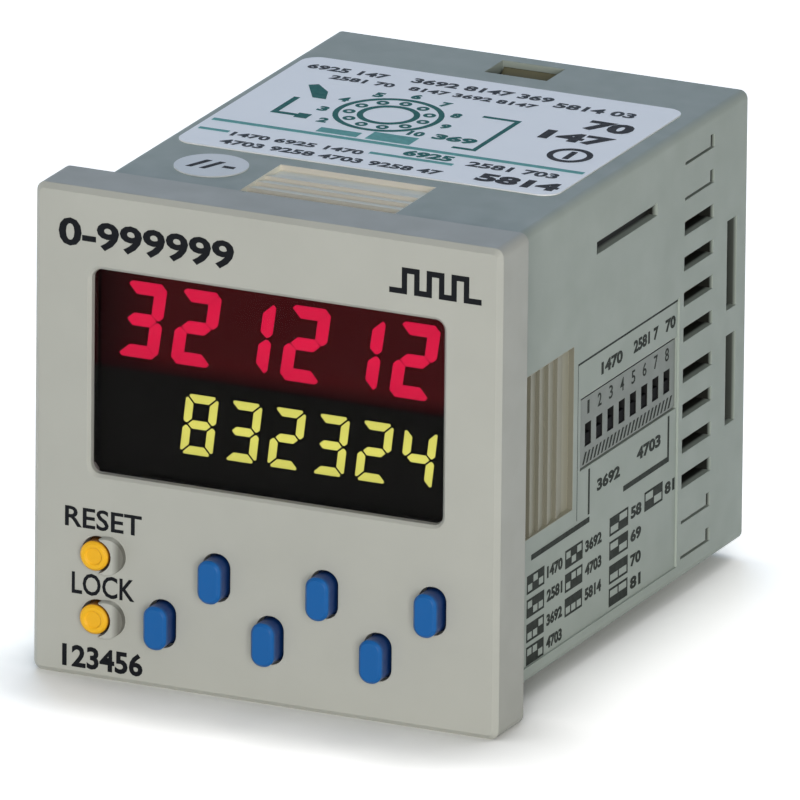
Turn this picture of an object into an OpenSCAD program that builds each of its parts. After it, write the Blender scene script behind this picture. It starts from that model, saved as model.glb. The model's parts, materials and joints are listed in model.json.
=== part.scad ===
// Panel counter: a square bezel with a display and push keys, a vented case and a plug-in base.
// X runs to the right, Y into the panel and Z up, from the middle of the bezel's panel seat.

/* [Bezel] */
// Side of the square front
bezel_side = 48; // [47.5:0.5:54]
// Width of the panel seat on the left and right of the case
seat_side = 2.5; // [1.8:0.1:2.6]
// Width of the panel seat above and below the case
seat_top = 1.7; // [1.3:0.1:2]
// Thickness from the front face to the panel seat
bezel_t = 6; // [5.5:0.1:7]
// Thickness of the front wall
front_wall = 1.6; // [1.2:0.1:2]
// Corner radius of the front
bezel_corner = 0.9; // [0.8:0.1:2]
// Bevel along the front edges
bezel_bevel = 0.5; // [0.2:0.1:0.7]
// Depth of the rebate that takes the front end of the case
rebate = 1.5; // [1:0.1:2]
// Width of the ledge that the case rests on in the rebate
seat_lip = 0.9; // [0.6:0.1:1.2]

/* [Display] */
// Distance from the window opening to the inside of the case's side walls
window_side = 1.65; // [1.5:0.05:4]
// Height of the window opening
window_h = 20.1; // [18:0.1:21.5]
// Height of the window's middle above the middle of the front
window_z = 6.25; // [5:0.05:7]
// Corner radius of the window opening
window_corner = 1; // [0.6:0.1:2]
// Bevel round the window opening
window_bevel = 0.3; // [0.1:0.05:0.5]
// How far the pane lies behind the front face
pane_sunk = 0.7; // [0.3:0.1:1]
// Thickness of the pane's flange
flange_t = 0.8; // [0.6:0.1:1.2]
// Overlap of the flange behind the front wall
flange_lip = 1; // [0.6:0.1:1.2]
// Gap between the pane and the display glass
lcd_gap = 0.2; // [0.1:0.05:0.4]
// Thickness of the display glass
lcd_t = 1.8; // [1.4:0.1:2.2]
// How far the display glass reaches above and below the opening
lcd_margin = 0.6; // [0.3:0.1:1]
// Thickness of the backlight
backlight_t = 4; // [3.6:0.1:5]
// Height of the strip connectors
strip_h = 1.6; // [1:0.1:2]
// Wall of the display holder
holder_wall = 0.8; // [0.5:0.1:1]

/* [Keys] */
// Width of a digit key
key_w = 2.35; // [2:0.05:2.8]
// Height of a digit key
key_h = 4.25; // [3.6:0.05:4.8]
// Corner radius of a digit key
key_corner = 1.1; // [0.5:0.05:1.1]
// How far a digit key stands out of the front
key_rise = 1.9; // [1.2:0.1:2.5]
// Bevel round the face of a key
key_bevel = 0.25; // [0.1:0.05:0.4]
// Distance from the round keys to the first digit key
first_key_step = 6.7; // [6:0.1:7]
// Distance from the last digit key to the inside of the case's right wall
last_key_inset = 2.5; // [2.5:0.1:4]
// Distance from the lower row of digit keys to the inside of the case's bottom wall
key_row_up = 3.12; // [3.1:0.02:4]
// Rise from the lower to the upper row
key_row_rise = 5.33; // [5:0.01:5.6]
// Diameter of the two round keys
round_key_d = 2.9; // [2.4:0.1:3.2]
// How far a round key stands out of the front
round_key_rise = 1.1; // [0.6:0.1:2]
// Distance from the round keys to the inside of the case's left wall
round_key_inset = 2.6; // [2.5:0.1:4]
// Distance from the lower round key to the inside of the case's bottom wall
round_key_up = 2.8; // [2.7:0.05:4]
// Rise from the lower to the upper round key
round_key_step = 6.25; // [5.6:0.05:6.6]
// Travel of every key
key_travel = 0.6; // [0.3:0.05:0.8]
// Gap between a key and its hole
key_gap = 0.25; // [0.2:0.01:0.35]
// Overlap of a key's flange behind the front wall
key_lip = 0.6; // [0.45:0.05:0.7]
// Thickness of a key's flange
key_flange_t = 0.8; // [0.6:0.1:1]
// Diameter of a key's stem
stem_d = 1.2; // [0.8:0.1:1.6]
// Radius of the guard beside a round key
guard_r = 1.8; // [1.6:0.1:2]
// How far the guard's middle lies beside the key's
guard_shift = 1.1; // [0.9:0.1:1.3]
// Height of the guard
guard_h = 1.2; // [0.8:0.1:1.6]
// Rounding of the guard's edge
guard_round = 0.5; // [0.3:0.05:0.75]
// How much lower the guard is on the side away from its key
guard_fall = 0.5; // [0.2:0.05:0.6]
// Radius of the dish in a round key's face
dish_r = 0.9; // [0.6:0.05:0.95]
// Depth of the dish
dish_depth = 0.15; // [0.05:0.05:0.25]
// Side of a tact switch
tact_side = 3.8; // [3:0.1:3.8]
// Height of a tact switch
tact_h = 2.2; // [2:0.1:2.8]
// How far a key's stem reaches into the well
stem_reach = 0.5; // [0.3:0.05:0.6]

/* [Case] */
// Depth of the case behind the panel seat
case_depth = 55; // [54:0.5:80]
// Wall of the case
case_wall = 1.7; // [1.5:0.1:1.9]
// Rounding of the long edges
case_edge = 0.8; // [0.4:0.1:1.4]
// Width of a ratchet field
ratchet_w = 16; // [12:0.5:18]
// Front end of the ratchet fields
ratchet_start = 2.6; // [1:0.1:3]
// Depth of the ratchet fields
ratchet_depth = 0.55; // [0.3:0.05:0.8]
// Height of a ratchet tooth
tooth_h = 0.42; // [0.2:0.02:0.5]
// Teeth in a ratchet field on the left and right
tooth_count = 6; // [3:1:6]
// Teeth in a ratchet field on the top and bottom
flat_tooth_count = 5; // [3:1:5]
// Distance between ratchet teeth
tooth_pitch = 2; // [1.2:0.1:2]
// Length of the flat behind the last tooth
ratchet_flat = 1.4; // [0.4:0.1:1.4]
// Length of a vent slot along the depth
vent_l = 6.6; // [4:0.1:7]
// Height of a vent slot
vent_h = 1.4; // [1:0.1:2]
// Distance from the vent slots to the rear of the case
vent_inset = 7.5; // [7:0.1:9]
// Distance between vent slots
vent_pitch = 3.5; // [3:0.05:3.5]
// Distance between the two vent slots nearest the middle
vent_middle = 4.07; // [3:0.01:4.3]
// Open vent slots in each half of a side
open_vents = 4; // [1:1:4]
// Blind vent slots in each half of a side
blind_vents = 2; // [0:1:2]
// Depth of the notch and the groove that mark a blind vent slot
blind_depth = 0.7; // [0.3:0.1:1]
// Length of the notch at the rear end of a blind vent slot
notch_l = 0.9; // [0.6:0.1:1.4]
// Height of the groove along the lower edge of a blind vent slot
groove_h = 0.3; // [0.2:0.05:0.4]
// Length of the long slot in the right side
slot_l = 13.7; // [8:0.1:16]
// Height of the long slot
slot_h = 1.25; // [0.8:0.05:2]
// Front end of the long slot
slot_y = 20.9; // [18:0.1:24]
// Height of the long slot above the middle
slot_z = 16.3; // [12:0.1:17]
// Depth of the long slot at its lower edge
slot_depth = 1; // [0.6:0.1:1.3]
// Height of the deepest part of the long slot
slot_floor_h = 0.4; // [0.2:0.05:0.6]
// Depth of the sunk print field on the right side
field_depth = 0.2; // [0.1:0.05:0.3]
// Upper edge of the print field
field_top = 6; // [4:0.1:10]
// Front edge of the upper part of the print field
field_y = 17; // [16.6:0.1:17.6]
// Upper edge of the lower part of the print field
field_low = -9.6; // [-12:0.1:-9.4]
// Margin of the print field at the bottom edge
field_margin = 1.6; // [1.5:0.1:4]
// Gap from the print field to the vent slots
field_gap = 0.9; // [0.6:0.1:1.4]

/* [Rear base] */
// Thickness of the base plate
base_t = 3; // [2.4:0.1:4]
// How far the base plate lies inside the rear edge
base_sunk = 0.4; // [0:0.1:0.8]
// Diameter of the round boss round the pins
boss_d = 30; // [26:0.5:36]
// Height of the round boss
boss_h = 3.5; // [2:0.1:6]
// Bevel round the boss
boss_bevel = 0.5; // [0.2:0.1:1]
// Number of plug pins
pin_count = 11; // [8, 11]
// Diameter of a plug pin
pin_d = 2.36; // [2.2:0.02:2.6]
// Diameter of the circle of pins
pin_circle = 19.05; // [17:0.05:21]
// Length of a plug pin behind the boss
pin_l = 9.6; // [7:0.1:12]
// Diameter of the shank that holds a pin in the base
shank_d = 2; // [1.4:0.1:2]
// Diameter of a pin's inner tail
tail_d = 1; // [0.6:0.1:1.2]
// Length of a pin's inner tail
tail_l = 3; // [1:0.1:4]
// Diameter of the key post between the pins
post_d = 8; // [6:0.1:10]
// Length of the key post
post_l = 11.6; // [10:0.1:14]
// Bevel round the end of the key post
post_bevel = 0.8; // [0.4:0.1:1.4]
// Width of the rib on the key post
rib_w = 2; // [1.2:0.1:2.6]
// Height of the rib on the key post
rib_h = 1; // [0.6:0.1:1.4]
// Width of the latch windows in the top and bottom
latch_w = 6.5; // [4:0.1:10]
// Length of the latch windows in the top and bottom
latch_l = 4.2; // [3:0.1:4.4]
// Distance from those latch windows to the rear of the case
latch_inset = 1.6; // [1.2:0.1:2]
// Height of a latch window in the side
side_latch_h = 8.9; // [5:0.1:12]
// Width of a latch window in the side
side_latch_w = 2.2; // [1.8:0.1:2.4]
// Distance between the two latch windows of a side
side_latch_apart = 2.5; // [1.5:0.1:5]
// Height of the middle between those two above the middle of the case
side_latch_z = 0.4; // [0:0.05:1]
// Distance from the side latch windows to the rear of the case
side_latch_inset = 2.1; // [1.8:0.1:2.3]
// How far a latch stands out into its window in the top or bottom
latch_out = 1.3; // [0.8:0.1:1.4]
// How far a latch stands out into its window in the side
side_latch_out = 0.6; // [0.5:0.05:1.2]

/* [Setting switch] */
// Number of sliders
dip_count = 8; // [4:1:8]
// Distance between sliders
dip_pitch = 2.54; // [2:0.01:2.54]
// Middle of the switch along the depth
dip_y = 28.95; // [28.5:0.05:29]
// Middle of the switch above the middle of the side
dip_z = -1.33; // [-2:0.01:0]
// Length of the switch body past the sliders
dip_end = 1; // [0.6:0.1:1.2]
// Height of the switch body's face
dip_h = 6.7; // [6:0.1:7.4]
// Depth of the switch body from its face to its board
dip_t = 5.2; // [4.6:0.1:5.4]
// How far the switch's face lies inside the case's side
dip_sunk = 0.3; // [0.2:0.05:0.6]
// Width of a slider's slot
dip_slot_w = 1.45; // [1.2:0.05:1.6]
// Height of a slider's slot
dip_slot_h = 2.25; // [2.2:0.05:3]
// Depth of a slider's slot
dip_slot_depth = 1.6; // [1:0.1:2.4]
// Drop of the slots below the middle of the face
dip_slot_drop = 0.37; // [0:0.01:0.5]
// Height of a slider
slider_h = 1.1; // [0.8:0.05:1.4]
// Gap round a slider
slider_gap = 0.1; // [0.05:0.01:0.15]

/* [Boards] */
// Thickness of the boards
board_t = 1.6; // [1.2:0.1:1.7]
// Gap from the display board to the upright boards
upright_gap = 1; // [0.6:0.1:1.6]
// Width of a board rail in the case
rail_w = 1; // [0.8:0.1:1.2]
// Height of a board rail in the case
rail_h = 1.2; // [0.8:0.1:1.6]
// Length of the pads of the base that hold the upright boards
pad_l = 2; // [1.4:0.1:3]
// Height of those pads
pad_h = 30; // [20:1:34]
// Width of a board header
header_w = 2.5; // [2:0.1:3]
// Depth of a board header
header_l = 3.5; // [2.5:0.1:4]
// Height of a board header
header_h = 28; // [16:1:30]
// Side of the microcontroller
chip_side = 10; // [7:0.5:12]
// Thickness of the microcontroller
chip_t = 1.6; // [1:0.1:2]
// Legs on each side of the microcontroller
chip_legs = 11; // [6:1:14]
// Width of a leg
leg_w = 0.35; // [0.2:0.05:0.45]
// Thickness of a leg
leg_t = 0.2; // [0.1:0.05:0.3]
// How far a leg stands out
leg_out = 1.2; // [0.8:0.1:1.6]
// Diameter of the crystal's ends
crystal_d = 4; // [3:0.1:5]
// Length of the crystal
crystal_l = 10; // [8:0.5:12]
// Height of the crystal over its board
crystal_t = 3.4; // [2.5:0.1:4]
// Thickness of the crystal's foot
foot_t = 0.5; // [0.3:0.1:0.8]
// How far the crystal's foot stands out
foot_out = 0.4; // [0.2:0.1:0.6]
// Side of the transformer's core
core_side = 16; // [12:0.5:16]
// Height of the transformer over its board
core_t = 13; // [10:0.5:15]
// Thickness of the transformer's core
core_w = 5; // [4:0.5:6]
// Width of the core round the winding
yoke_w = 2.5; // [2:0.1:3]
// How far the transformer's winding stands out
winding_out = 2.5; // [1.5:0.1:3]
// Thickness of the bobbin's flanges
bobbin_t = 0.8; // [0.5:0.1:1]
// Length of the relay
relay_l = 20; // [15:0.5:21]
// Width of the relay
relay_w = 10; // [8:0.5:12]
// Height of the relay over its board
relay_t = 15; // [10:0.5:16]
// Thickness of the relay's foot
relay_foot = 1.2; // [0.8:0.1:1.6]
// Edge radius of the relay's cover
relay_edge = 0.6; // [0.3:0.1:1]
// Diameter of a capacitor
capacitor_d = 8; // [6.3:0.1:9]
// Length of a capacitor
capacitor_l = 11.5; // [9:0.5:14]
// Distance from the board to the crimp of a capacitor
crimp_up = 1.2; // [0.8:0.1:2]
// Depth of the crimp and rounding of the end
crimp_r = 0.5; // [0.3:0.1:0.7]

/* [Labels] */
// Distance from the top label to the case's left edge
label_left = 1.3; // [1:0.1:3]
// Distance from the top label to the case's right edge
label_right = 2.3; // [1:0.1:4]
// Length of the top label
label_l = 30.2; // [24:0.1:31]
// Front edge of the top label
label_y = 16; // [15.7:0.1:17]
// Corner radius of the top label
label_corner = 1.8; // [0.5:0.1:3]
// Thickness of the label and the sticker
label_t = 0.12; // [0.08:0.01:0.2]
// Diameter of the round sticker
sticker_d = 7.1; // [6:0.1:8]
// Distance from the round sticker's middle to the case's left edge
sticker_inset = 7.9; // [7.5:0.1:8.1]
// Place of the round sticker along the depth
sticker_y = 10.6; // [8:0.1:11]

/* [Hidden] */
$fn = 64;
// Gaps between pieces that are fitted together
seat_gap = 0.1;
fit_gap = 0.2;
pin_gap = 0.05;
// How far a cut runs past the face that it opens
over = 1;

front_y = -bezel_t;
wall_back = front_y + front_wall;
case_w = bezel_side - 2 * seat_side;
case_h = bezel_side - 2 * seat_top;
cavity_w = case_w - 2 * seat_lip;
cavity_h = case_h - 2 * seat_lip;
inner_w = case_w - 2 * case_wall;
inner_h = case_h - 2 * case_wall;

window_w = inner_w - 2 * window_side;
pane_back = wall_back + flange_t;
lcd_y = pane_back + lcd_gap;
backlight_y = lcd_y + lcd_t;
display_board_y = backlight_y + backlight_t;
rail_y = display_board_y + board_t;
holder_w = inner_w - 2 * fit_gap;
lcd_w = holder_w - 2 * holder_wall - 2 * seat_gap;
lcd_h = window_h + 2 * lcd_margin;
holder_h = lcd_h + 2 * holder_wall + 2 * seat_gap;

// A digit key's corners are at most as round as its width allows
key_round = min(key_corner, key_w / 2 - pin_gap);
key_flange_y = wall_back + seat_gap;
tact_y = display_board_y - tact_h;
well_depth = stem_reach + key_travel + fit_gap;

base_rear = case_depth - base_sunk;
base_front = base_rear - base_t;
boss_rear = base_rear + boss_h;
latch_rear = case_depth - latch_inset;
side_latch_rear = case_depth - side_latch_inset;
side_latch_mid = (side_latch_apart + side_latch_h) / 2;

dip_face_x = case_w / 2 - dip_sunk;
dip_l = dip_count * dip_pitch + dip_end;
slot_mid_z = dip_z - dip_slot_drop;

upright_out = dip_face_x - dip_t;
upright_in = upright_out - board_t;
upright_mid = upright_out - board_t / 2;
upright_y = rail_y + upright_gap;
upright_end = base_front - pad_l;

vent_y1 = case_depth - vent_inset;
vent_y0 = vent_y1 - vent_l;

KEYS = [for (k = [1:6]) str("digit_key_", k)];
TACTS = [for (k = [1:8]) str("tact_switch_", k)];
SLIDERS = [for (k = [1:dip_count]) str("dip_slider_", k)];
PINS = [for (k = [1:pin_count]) str("plug_pin_", k)];
STRIPS = ["strip_connector_1", "strip_connector_2"];
HEADERS = ["board_header_1", "board_header_2"];
CAPACITORS = ["capacitor_1", "capacitor_2"];

front_grey = [0.70, 0.70, 0.66];
case_grey = [0.60, 0.62, 0.60];
base_beige = [0.72, 0.70, 0.60];
board_green = [0.10, 0.36, 0.22];
smoke = [0.07, 0.04, 0.05];
steel = [0.78, 0.78, 0.80];

// Places of the round keys, the upper one first
round_key_x = round_key_inset - inner_w / 2;
round_key_z = round_key_up - inner_h / 2;
round_key_places = [[round_key_x, round_key_z + round_key_step], [round_key_x, round_key_z]];
// Places of the digit keys, left to right, in two staggered rows
first_key_x = round_key_x + first_key_step;
key_pitch = (inner_w / 2 - last_key_inset - first_key_x) / (len(KEYS) - 1);
digit_key_places = [
    for (k = [0:len(KEYS) - 1])
        [first_key_x + k * key_pitch, key_row_up - inner_h / 2 + (k % 2 == 0 ? 0 : key_row_rise)]
];
all_key_places = concat(digit_key_places, round_key_places);
vent_count = open_vents + blind_vents;

// Flat outlines, drawn with X to the right and Z or Y up
module rounded_rect(w, h, r) {
    square([w, h - 2 * r], center = true);
    square([w - 2 * r, h], center = true);
    for (i = [-1, 1], j = [-1, 1])
        translate([i * (w / 2 - r), j * (h / 2 - r)]) circle(r);
}

// Raises an XZ outline from y0 to y1
module along_y(y0, y1) {
    translate([0, y1, 0]) rotate([90, 0, 0]) linear_extrude(y1 - y0) children();
}

// Raises a YZ outline from x0 to x1
module along_x(x0, x1) {
    translate([x0, 0, 0]) rotate([90, 0, 90]) linear_extrude(x1 - x0) children();
}

// Box between two corners
module box(low, high) {
    translate(low) cube(high - low);
}

// Rounded block from y0 back to y1 whose front edge is bevelled
module bevel_block(w, h, r, bevel, y0, y1) {
    along_y(y0 + bevel, y1) rounded_rect(w, h, r);
    bevel_rim(w, h, r, bevel, y0);
}

// Sloping rim that widens from y0 to y0 + bevel, where it has the full size
module bevel_rim(w, h, r, bevel, y0) {
    translate([0, 0, r - h / 2]) linear_extrude(h - 2 * r)
        polygon([[-w / 2, y0 + bevel], [w / 2, y0 + bevel], [w / 2 - bevel, y0], [bevel - w / 2, y0]]);
    along_x(r - w / 2, w / 2 - r)
        polygon([[y0 + bevel, -h / 2], [y0 + bevel, h / 2], [y0, h / 2 - bevel], [y0, bevel - h / 2]]);
    for (i = [-1, 1], j = [-1, 1])
        translate([i * (w / 2 - r), y0, j * (h / 2 - r)]) rotate([-90, 0, 0]) cylinder(bevel, r - bevel, r);
}

// Bevelled mouth of an opening in the front wall
module mouth(w, h, r, bevel) {
    mirror([0, 1, 0]) bevel_rim(w + 2 * bevel, h + 2 * bevel, r + bevel, bevel, -front_y - bevel);
}

// Crescent of the front wall that stands beside a round key and falls away from it
module key_guard() {
    difference() {
        rotate([90, 0, 0]) rotate_extrude() {
            square([guard_r - guard_round, guard_h]);
            square([guard_r, guard_h - guard_round]);
            translate([guard_r - guard_round, guard_h - guard_round]) circle(guard_round);
            translate([0, -front_wall / 2]) square([guard_r, front_wall / 2]);
        }
        translate([0, 0, -guard_r - over]) linear_extrude(2 * guard_r + 2 * over) polygon([
            [-guard_r, -guard_h], [guard_r, guard_fall - guard_h],
            [guard_r, -guard_h - over], [-guard_r, -guard_h - over]
        ]);
    }
}

module front_bezel() {
    color(front_grey) difference() {
        union() {
            bevel_block(bezel_side, bezel_side, bezel_corner, bezel_bevel, front_y, 0);
            for (p = round_key_places)
                translate([p.x + guard_shift, front_y, p.y]) key_guard();
        }
        along_y(wall_back, over) square([cavity_w, cavity_h], center = true);
        along_y(-rebate, over)
            rounded_rect(case_w + 2 * seat_gap, case_h + 2 * seat_gap, case_edge + seat_gap);
        translate([0, 0, window_z]) {
            along_y(front_y - over, wall_back + over) rounded_rect(window_w, window_h, window_corner);
            mouth(window_w, window_h, window_corner, window_bevel);
        }
        for (p = digit_key_places)
            translate([p.x, 0, p.y]) along_y(front_y - over, wall_back + over)
                rounded_rect(key_w + 2 * key_gap, key_h + 2 * key_gap, key_round + key_gap);
        for (p = round_key_places)
            translate([p.x, 0, p.y]) along_y(front_y - guard_h - over, wall_back + over)
                circle(round_key_d / 2 + key_gap);
    }
}

module display_window() {
    color(smoke) translate([0, 0, window_z]) {
        along_y(front_y + pane_sunk, wall_back)
            rounded_rect(window_w - 2 * seat_gap, window_h - 2 * seat_gap, window_corner - seat_gap);
        along_y(wall_back, pane_back)
            square([window_w + 2 * flange_lip, window_h + 2 * flange_lip], center = true);
    }
}

// Stem from a key's flange into the well of its tact switch
module key_stem() {
    along_y(key_flange_y, tact_y + stem_reach) circle(d = stem_d);
}

module digit_key(k) {
    p = digit_key_places[k];
    color("royalblue") translate([p.x, 0, p.y]) {
        bevel_block(key_w, key_h, key_round, key_bevel, front_y - key_rise, key_flange_y);
        along_y(key_flange_y, key_flange_y + key_flange_t)
            rounded_rect(key_w + 2 * key_lip, key_h + 2 * key_lip, key_round + key_lip);
        key_stem();
    }
}

module round_key(k) {
    p = round_key_places[k];
    body_l = key_flange_y - front_y + round_key_rise;
    color("gold") translate([p.x, 0, p.y]) {
        translate([0, front_y - round_key_rise, 0]) rotate([-90, 0, 0]) rotate_extrude() polygon([
            [0, dish_depth], [dish_r - dish_depth, dish_depth], [dish_r, 0],
            [round_key_d / 2 - key_bevel, 0], [round_key_d / 2, key_bevel],
            [round_key_d / 2, body_l], [0, body_l]
        ]);
        along_y(key_flange_y, key_flange_y + key_flange_t) circle(round_key_d / 2 + key_lip);
        key_stem();
    }
}

module reset_key() {
    round_key(0);
}

module lock_key() {
    round_key(1);
}

// Saw-toothed cut of a ratchet field, drawn with Y across and the wall's depth downwards
module ratchet_outline(count) {
    teeth = [
        for (k = [0:count - 1], edge = [0, 1])
            [ratchet_start + (k + edge) * tooth_pitch, edge == 0 ? tooth_h - ratchet_depth : -ratchet_depth]
    ];
    ratchet_end = ratchet_start + count * tooth_pitch + ratchet_flat;
    polygon(concat(
        [[ratchet_start, over]], teeth, [[ratchet_end, -ratchet_depth], [ratchet_end, over]]
    ));
}

// One ratchet field on the middle of each of the four walls
module ratchet_cuts() {
    for (end = [0, 1])
        rotate([0, 180 * end, 0]) translate([0, 0, case_h / 2])
            along_x(-ratchet_w / 2, ratchet_w / 2) ratchet_outline(flat_tooth_count);
    for (side = [-1, 1])
        rotate([0, 90 * side, 0]) translate([0, 0, case_w / 2])
            along_x(-ratchet_w / 2, ratchet_w / 2) ratchet_outline(tooth_count);
}

// Cut into both side walls, to a depth, between two corners given along Y and Z
module side_cuts(depth, low, high) {
    for (reach = [[case_w / 2 - depth, case_w / 2 + over], [-case_w / 2 - over, depth - case_w / 2]])
        box([reach[0], low.x, low.y], [reach[1], high.x, high.y]);
}

// Open vent slots, and blind ones that show as a groove with a notch at its rear end
module vent_cuts() {
    for (half = [-1, 1], k = [0:vent_count - 1]) {
        z0 = half * (vent_middle / 2 + k * vent_pitch) - vent_h / 2;
        if (k < open_vents)
            side_cuts(case_wall + over, [vent_y0, z0], [vent_y1, z0 + vent_h]);
        else {
            side_cuts(blind_depth, [vent_y0, z0], [vent_y1, z0 + groove_h]);
            side_cuts(blind_depth, [vent_y1 - notch_l, z0], [vent_y1, z0 + vent_h]);
        }
    }
}

module latch_window_cuts() {
    box([-latch_w / 2, latch_rear - latch_l, -case_h], [latch_w / 2, latch_rear, case_h]);
    for (half = [-1, 1])
        translate([0, side_latch_rear - side_latch_w / 2, side_latch_z + half * side_latch_mid])
            cube([2 * case_w, side_latch_w, side_latch_h], center = true);
}

// Sunk field for the print round the setting switch, the opening in it and the long slot, which slopes in
module right_side_cuts() {
    wall_in = inner_w / 2 - over;
    field_rear = vent_y0 - field_gap;
    field_bottom = field_margin - case_h / 2;
    along_x(case_w / 2 - field_depth, case_w / 2 + over) polygon([
        [field_y, field_top], [field_rear, field_top], [field_rear, field_bottom],
        [ratchet_start, field_bottom], [ratchet_start, field_low], [field_y, field_low]
    ]);
    along_x(wall_in, case_w / 2 + over)
        translate([dip_y, dip_z]) square([dip_l + 2 * fit_gap, dip_h + 2 * fit_gap], center = true);
    translate([case_w / 2, 0, slot_z - slot_h / 2]) along_y(slot_y, slot_y + slot_l)
        polygon([[over, 0], [over, slot_h], [0, slot_h], [-slot_depth, slot_floor_h], [-slot_depth, 0]]);
}

// Pairs of ribs on the top and bottom walls that hold the upright boards
module board_rails() {
    rib_mid = (board_t + rail_w) / 2 + seat_gap;
    for (side = [-1, 1], end = [-1, 1], rib = [-1, 1])
        translate([side * upright_mid + rib * rib_mid, 0, end * (inner_h - rail_h) / 2])
            along_y(rail_y, upright_end) square([rail_w, rail_h], center = true);
}

module case() {
    color(case_grey) {
        difference() {
            along_y(-rebate, case_depth) rounded_rect(case_w, case_h, case_edge);
            along_y(-rebate - over, case_depth + over) square([inner_w, inner_h], center = true);
            ratchet_cuts();
            vent_cuts();
            latch_window_cuts();
            right_side_cuts();
        }
        board_rails();
    }
}

// Wedge that rises from the base's edge to its steep rear face, w wide
module latch(w, rear, rise) {
    y1 = rear - seat_gap;
    along_x(-w / 2, w / 2) polygon([[base_front, 0], [y1, rise], [y1, 0]]);
}

module plug_pin_places() {
    for (k = [0:pin_count - 1])
        rotate([0, (k + 0.5) * 360 / pin_count, 0]) translate([0, 0, -pin_circle / 2]) children();
}

module rear_base() {
    base_w = inner_w - 2 * fit_gap;
    base_h = inner_h - 2 * fit_gap;
    color(base_beige) difference() {
        union() {
            along_y(base_front, base_rear) square([base_w, base_h], center = true);
            translate([0, base_rear, 0]) rotate([-90, 0, 0]) rotate_extrude() polygon([
                [0, 0], [boss_d / 2, 0], [boss_d / 2, boss_h - boss_bevel], [boss_d / 2 - boss_bevel, boss_h],
                [post_d / 2, boss_h], [post_d / 2, boss_h + post_l - post_bevel],
                [post_d / 2 - post_bevel, boss_h + post_l], [0, boss_h + post_l]
            ]);
            box(
                [-rib_w / 2, boss_rear, -post_d / 2 - rib_h],
                [rib_w / 2, boss_rear + post_l - post_bevel, 0]
            );
            for (end = [0, 1])
                rotate([0, 180 * end, 0]) translate([0, 0, base_h / 2])
                    latch(latch_w - 2 * fit_gap, latch_rear, latch_out);
            for (side = [-1, 1], half = [-1, 1])
                rotate([0, 90 * side, 0])
                    translate([half * side_latch_mid - side * side_latch_z, 0, base_w / 2])
                        latch(side_latch_h - 2 * fit_gap, side_latch_rear, side_latch_out);
            for (side = [-1, 1])
                translate([side * upright_mid, 0, 0])
                    along_y(upright_end, base_front) square([2 * board_t, pad_h], center = true);
        }
        plug_pin_places() along_y(base_front - over, boss_rear + over) circle(shank_d / 2 + pin_gap);
    }
}

// Turned pin: tail inside, shank in the base, contact behind the boss with a chamfered tip
module plug_pin(k) {
    tip = pin_d / 4;
    color(steel) rotate([0, (k + 0.5) * 360 / pin_count, 0]) translate([0, 0, -pin_circle / 2])
        rotate([-90, 0, 0]) rotate_extrude() polygon([
            [0, base_front - tail_l], [tail_d / 2, base_front - tail_l], [tail_d / 2, base_front],
            [shank_d / 2, base_front], [shank_d / 2, boss_rear], [pin_d / 2, boss_rear],
            [pin_d / 2, boss_rear + pin_l - tip], [pin_d / 2 - tip, boss_rear + pin_l],
            [0, boss_rear + pin_l]
        ]);
}

function slider_y(k) = dip_y + (k - (dip_count - 1) / 2) * dip_pitch;

module dip_switch() {
    color("gainsboro") difference() {
        along_x(upright_out, dip_face_x) translate([dip_y, dip_z]) square([dip_l, dip_h], center = true);
        for (k = [0:dip_count - 1])
            along_x(dip_face_x - dip_slot_depth, dip_face_x + over)
                translate([slider_y(k), slot_mid_z]) square([dip_slot_w, dip_slot_h], center = true);
    }
}

// Slider at the lower end of its slot
module dip_slider(k) {
    low = slot_mid_z - dip_slot_h / 2 + slider_gap;
    w = dip_slot_w - 2 * slider_gap;
    color("black") along_x(dip_face_x - dip_slot_depth + slider_gap, dip_face_x - slider_gap)
        translate([slider_y(k) - w / 2, low]) square([w, slider_h]);
}

module top_label() {
    w = case_w - label_left - label_right;
    color("lavender") translate([(label_left - label_right) / 2, label_y + label_l / 2, case_h / 2])
        linear_extrude(label_t) rounded_rect(w, label_l, label_corner);
}

module round_sticker() {
    color("whitesmoke") translate([sticker_inset - case_w / 2, sticker_y, case_h / 2])
        cylinder(label_t, d = sticker_d);
}

module lcd_glass() {
    color("black") translate([0, 0, window_z])
        along_y(lcd_y, backlight_y) square([lcd_w, lcd_h], center = true);
}

module lcd_holder() {
    color("white") translate([0, 0, window_z]) along_y(pane_back, display_board_y) difference() {
        square([holder_w, holder_h], center = true);
        square([lcd_w + 2 * seat_gap, lcd_h + 2 * seat_gap], center = true);
    }
}

module backlight() {
    color("ivory") translate([0, 0, window_z]) along_y(backlight_y, display_board_y)
        square([lcd_w, lcd_h - 2 * strip_h - 2 * fit_gap], center = true);
}

// Rubber strip that joins the edge of the display glass to its board
module strip_connector(k) {
    side = k == 0 ? 1 : -1;
    color("dimgray") translate([0, 0, window_z + side * (lcd_h - strip_h) / 2])
        along_y(backlight_y, display_board_y) square([lcd_w, strip_h], center = true);
}

module display_board() {
    color(board_green) along_y(display_board_y, rail_y)
        square([inner_w - 2 * fit_gap, inner_h - 2 * fit_gap], center = true);
}

module tact_switch(k) {
    p = all_key_places[k];
    color("dimgray") translate([p.x, 0, p.y]) difference() {
        along_y(tact_y, display_board_y) square(tact_side, center = true);
        along_y(tact_y - over, tact_y + well_depth) circle(stem_d / 2 + key_gap);
    }
}

// Upright board between its rails, on the right for side 1 and on the left for side -1
module upright_board(side) {
    color(board_green) translate([side * upright_mid, 0, 0])
        along_y(upright_y, upright_end) square([board_t, inner_h - 2 * fit_gap], center = true);
}

module main_board() {
    upright_board(1);
}

module power_board() {
    upright_board(-1);
}

module board_header(k) {
    side = k == 0 ? 1 : -1;
    color("black") translate([side * (upright_in - header_w / 2), 0, 0])
        along_y(rail_y, rail_y + header_l) square([header_w, header_h], center = true);
}

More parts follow.
